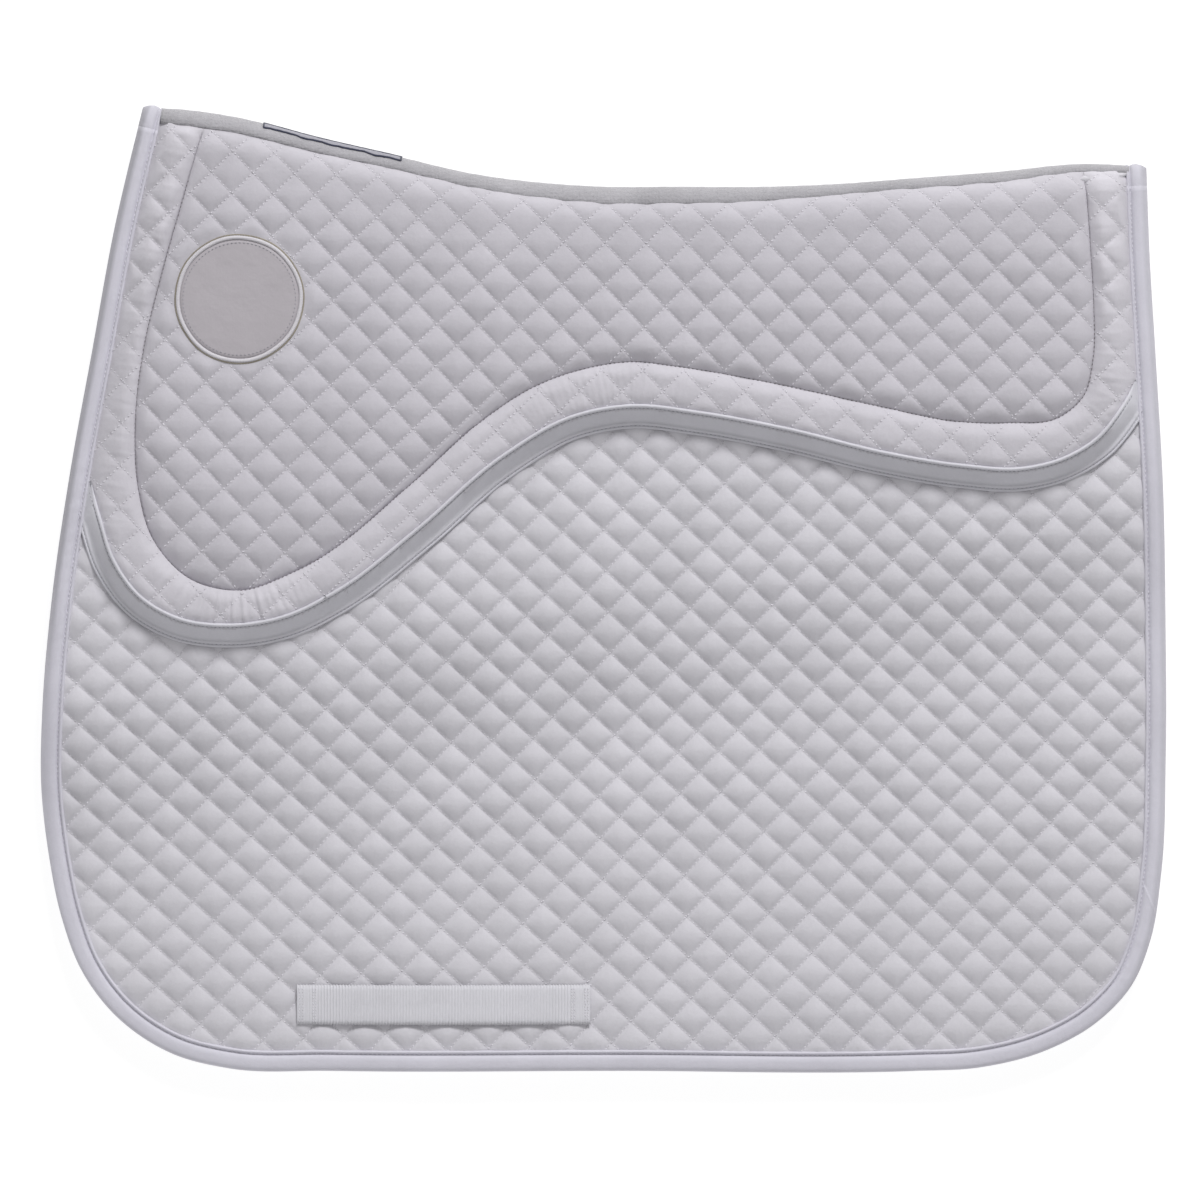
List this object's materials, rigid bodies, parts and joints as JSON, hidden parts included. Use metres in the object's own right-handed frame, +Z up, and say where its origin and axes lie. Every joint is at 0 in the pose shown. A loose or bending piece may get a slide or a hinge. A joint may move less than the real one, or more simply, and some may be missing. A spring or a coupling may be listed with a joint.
{
  "type": "saddle pad",
  "caption": "Folded, diamond-quilted cotton saddle pad with a padded half-pad, edge binding, spine tape and girth keepers; the near flap lifts about the fold.",
  "frame": {"origin": "middle of the folded pad's box, on the surface that it lies on", "axes": "+X along the spine from the front to the rear, +Y from the hem to the spine, +Z up through the folded thickness"},
  "size_m": [0.719, 0.6174, 0.0461],
  "materials": {
    "quilted_cotton": "matt quilted cotton",
    "lining": "matt quilted cotton",
    "foam": "open-cell foam",
    "binding": "smooth woven tape",
    "edge_tape": "woven tape",
    "spine_tape": "twill tape",
    "patch_satin": "satin",
    "patch_rim": "satin stitch",
    "label": "woven label",
    "label_thread": "thread",
    "webbing": "ribbed webbing",
    "thread": "thread"
  },
  "bodies": {
    "far_flap": {"far_cover": "quilted_cotton", "far_foam": "foam", "far_lining": "lining", "far_binding": "binding", "far_half_pad_panel": "quilted_cotton", "far_half_pad_border": "quilted_cotton", "far_half_pad_foam": "foam", "far_half_pad_tape": "edge_tape", "far_girth_keeper": "webbing", "far_keeper_stitching": "thread", "spine_cover": "quilted_cotton", "spine_foam": "foam", "spine_lining": "lining", "spine_half_pad_cover": "quilted_cotton", "spine_half_pad_foam": "foam", "spine_front_binding": "binding", "spine_rear_binding": "binding", "spine_tape": "spine_tape", "spine_label": "label", "spine_label_stitching": "label_thread"},
    "near_flap": {"near_cover": "quilted_cotton", "near_foam": "foam", "near_lining": "lining", "near_binding": "binding", "near_half_pad_panel": "quilted_cotton", "near_half_pad_border": "quilted_cotton", "near_half_pad_foam": "foam", "near_half_pad_tape": "edge_tape", "near_patch": "patch_satin", "near_patch_rim": "patch_rim", "near_girth_keeper": "webbing", "near_keeper_stitching": "thread"}
  },
  "joints": [
    {"name": "near_fold", "type": "hinge", "parent": "far_flap", "child": "near_flap", "pos_m": [0.023, 0.2219, 0.0445], "axis": [-0.9982, 0.0606, 0], "range_deg": [0, 110]}
  ]
}
